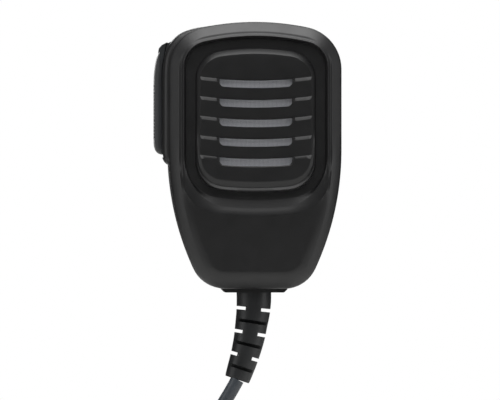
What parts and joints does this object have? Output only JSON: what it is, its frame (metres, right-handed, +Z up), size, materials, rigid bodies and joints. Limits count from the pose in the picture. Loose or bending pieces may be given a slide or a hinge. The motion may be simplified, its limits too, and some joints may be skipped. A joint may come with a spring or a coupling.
{
  "type": "hand microphone",
  "caption": "Hand-held two-way radio microphone with a slotted grille, side push-to-talk bar, rear hang-up button, strain relief and coiled cord to a modular plug.",
  "frame": {"origin": "centre of the hang-up button's neck where it meets the rear boss", "axes": "+Z up along the case with the cord leaving at the bottom, +Y out of the back, grille facing -Y, push-to-talk bar on -X"},
  "size_m": [0.0696, 0.0355, 0.2103],
  "materials": {
    "case": "fine moulded texture, dark grey ABS",
    "cover": "soft-touch moulded cover",
    "cloth": "tight light grey woven acoustic cloth",
    "inner_plastic": "plain moulded",
    "boot_rubber": "matt moulded rubber",
    "capsule_metal": "turned, satin",
    "board": "green solder mask on glass laminate",
    "screw": "zinc plated",
    "header_plastic": "natural nylon",
    "chip": "moulded epoxy",
    "capacitor": "printed sleeve without lettering",
    "wire": "thin insulation",
    "cord": "soft satin jacket",
    "steel": "plated sheet and wire",
    "button_metal": "nickel plated turned steel",
    "label": "plain satin foil, no lettering",
    "relief": "satin moulded relief",
    "tie": "woven hook and loop strap",
    "clear_plug": "clear polycarbonate",
    "gold": "gold plated",
    "lever_plastic": "moulded acetal",
    "plunger": "natural acetal"
  },
  "bodies": {
    "handset": {"front_case": "case", "rear_case": "case", "relief_collar": "case", "ptt_bezel": "case", "grille_cloth": "cloth", "cloth_frame": "inner_plastic", "capsule_boot": "boot_rubber", "mic_capsule": "capsule_metal", "circuit_board": "board", "board_screws": "screw", "ptt_switch": "inner_plastic", "wire_header": "header_plastic", "amplifier_chip": "chip", "capacitors": "capacitor", "signal_wires": "wire", "inner_cable": "cord", "cable_clamp": "steel", "clamp_screws": "screw", "hang_up_button": "button_metal", "hang_up_plate": "steel", "button_screw": "screw", "rear_label": "label", "case_screws": "screw", "pivot_pin": "steel", "strain_relief": "relief", "cord_tail": "cord", "curly_cord": "cord", "cord_ties": "tie", "plug_tail": "cord", "plug_boot": "relief", "plug_body": "clear_plug", "plug_contacts": "gold", "ptt_spring": "steel"},
    "ptt_bar": {"ptt_lever": "lever_plastic", "ptt_cover": "cover"},
    "plunger": {"switch_plunger": "plunger"},
    "latch": {"plug_latch": "clear_plug"}
  },
  "joints": [
    {"name": "ptt_press", "type": "hinge", "parent": "handset", "child": "ptt_bar", "pos_m": [-0.0245, -0.013, 0.0205], "axis": [0, -1, 0], "range_deg": [0, 3], "stiffness_Nm_per_rad": 1, "springref_deg": -2.86, "deforming": ["ptt_spring"]},
    {"name": "switch_travel", "type": "slide", "parent": "handset", "child": "plunger", "axis": [1, 0, 0], "range_m": [0, 0.0012]},
    {"name": "latch_press", "type": "hinge", "parent": "handset", "child": "latch", "pos_m": [-0.004, -0.01675, -0.1593], "axis": [1, 0, 0], "range_deg": [0, 10], "stiffness_Nm_per_rad": 0.05, "springref_deg": -1.15}
  ],
  "couplings": [
    {"joint": "switch_travel", "follows": "ptt_press", "m_per_rad": 0.0225}
  ]
}
